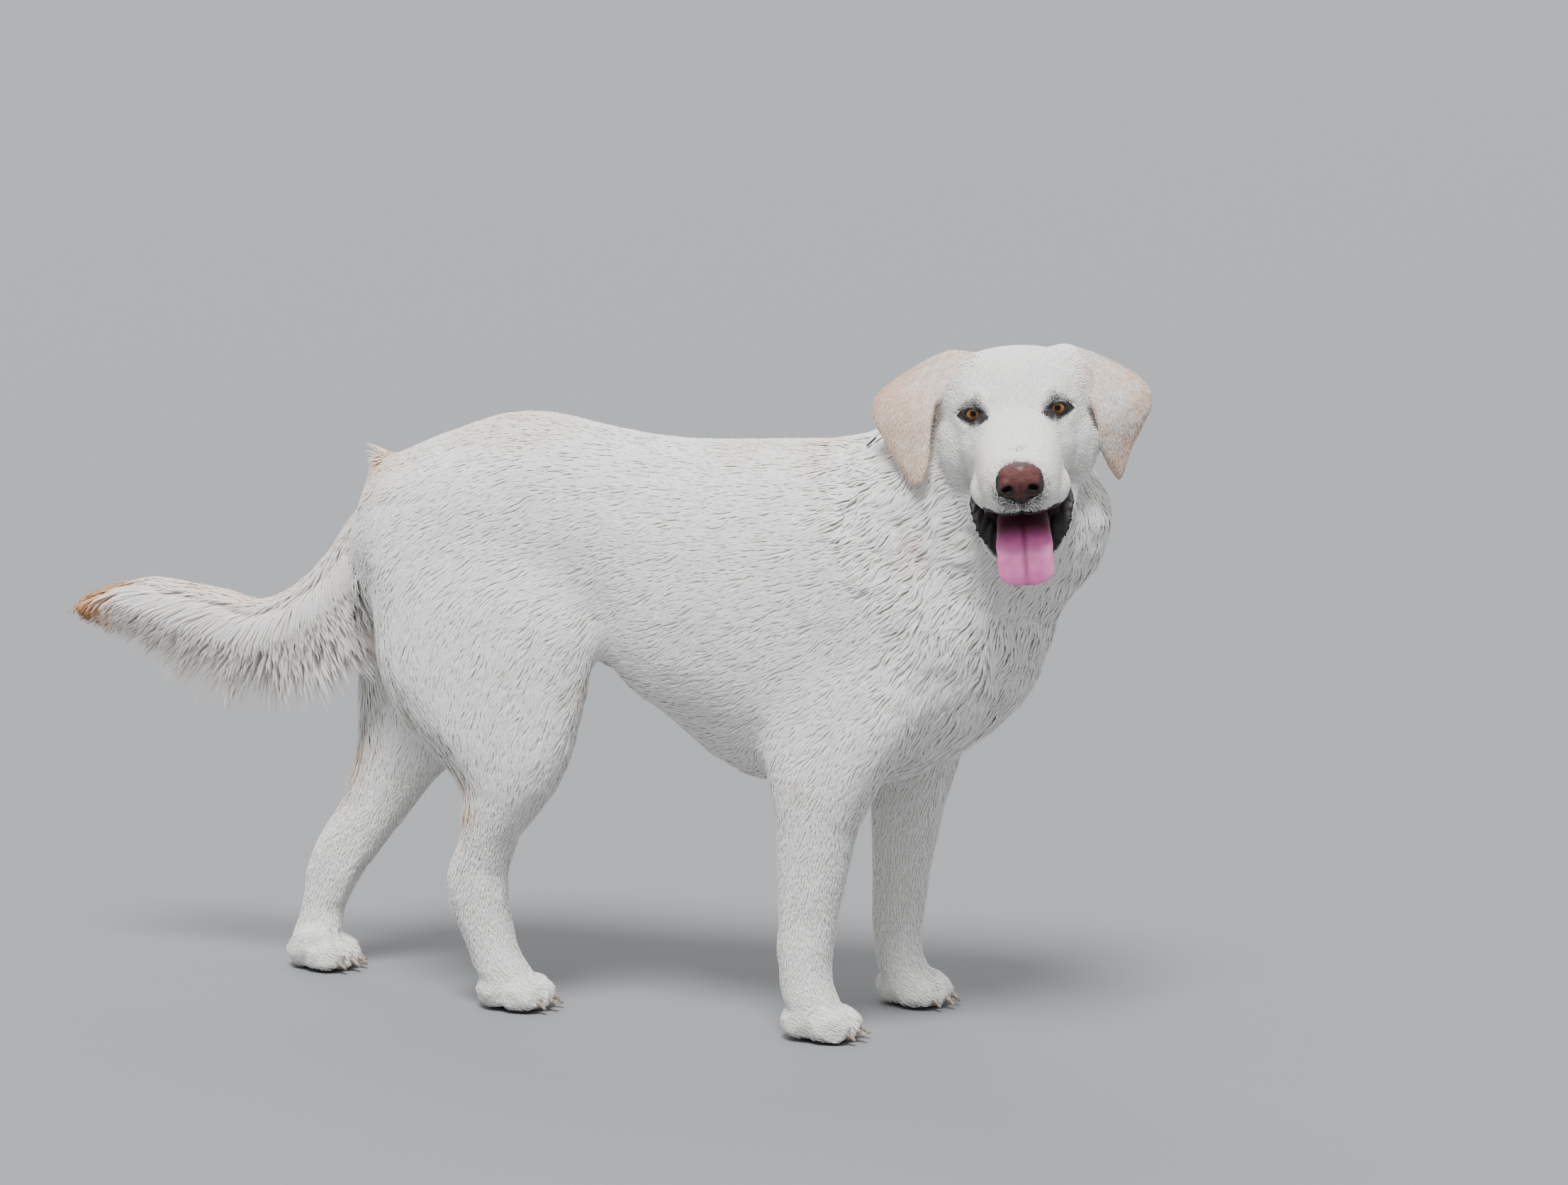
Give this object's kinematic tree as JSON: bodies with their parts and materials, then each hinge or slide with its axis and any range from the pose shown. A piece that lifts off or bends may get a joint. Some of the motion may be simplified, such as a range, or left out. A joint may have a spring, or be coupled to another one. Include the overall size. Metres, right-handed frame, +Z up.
{
  "type": "life-size standing dog model",
  "caption": "Life-size still model of a pale retriever-type dog standing side-on, its head turned to its right with the mouth open, drop ears, a bushy tail and a thin collar.",
  "frame": {"origin": "on the floor, under the middle of the box around the whole model", "axes": "-Y the way the dog stands facing, +X its left side, +Z up"},
  "size_m": [0.3542, 1.2502, 0.7395],
  "materials": {
    "coat": "medium-short wavy ivory hair, peach at the rump, hocks and tail tip, over pale skin",
    "ear_coat": "short soft hair, ivory mottled with peach",
    "nose_leather": "bare, pebbled, slightly moist, brown fading from black at the rim",
    "tongue": "moist pink with a fine grain and a groove along the middle",
    "eye": "glossy, amber-brown iris round a black pupil",
    "claw": "worn horn, grey-brown, semi-gloss",
    "collar": "flat woven band, near-black blue"
  },
  "bodies": {
    "root": {"trunk": "coat", "neck": "coat", "head": "coat", "lower_jaw": "coat", "tail": "coat", "foreleg_left": "coat", "foreleg_right": "coat", "hindleg_left": "coat", "hindleg_right": "coat", "paw_fore_left": "coat", "paw_fore_right": "coat", "paw_hind_left": "coat", "paw_hind_right": "coat", "ear_left": "ear_coat", "ear_right": "ear_coat", "nose": "nose_leather", "tongue": "tongue", "eye_left": "eye", "eye_right": "eye", "claw_fore_left_1": "claw", "claw_fore_left_2": "claw", "claw_fore_left_3": "claw", "claw_fore_left_4": "claw", "claw_fore_right_1": "claw", "claw_fore_right_2": "claw", "claw_fore_right_3": "claw", "claw_fore_right_4": "claw", "claw_hind_left_1": "claw", "claw_hind_left_2": "claw", "claw_hind_left_3": "claw", "claw_hind_left_4": "claw", "claw_hind_right_1": "claw", "claw_hind_right_2": "claw", "claw_hind_right_3": "claw", "claw_hind_right_4": "claw", "collar": "collar"}
  },
  "joints": []
}
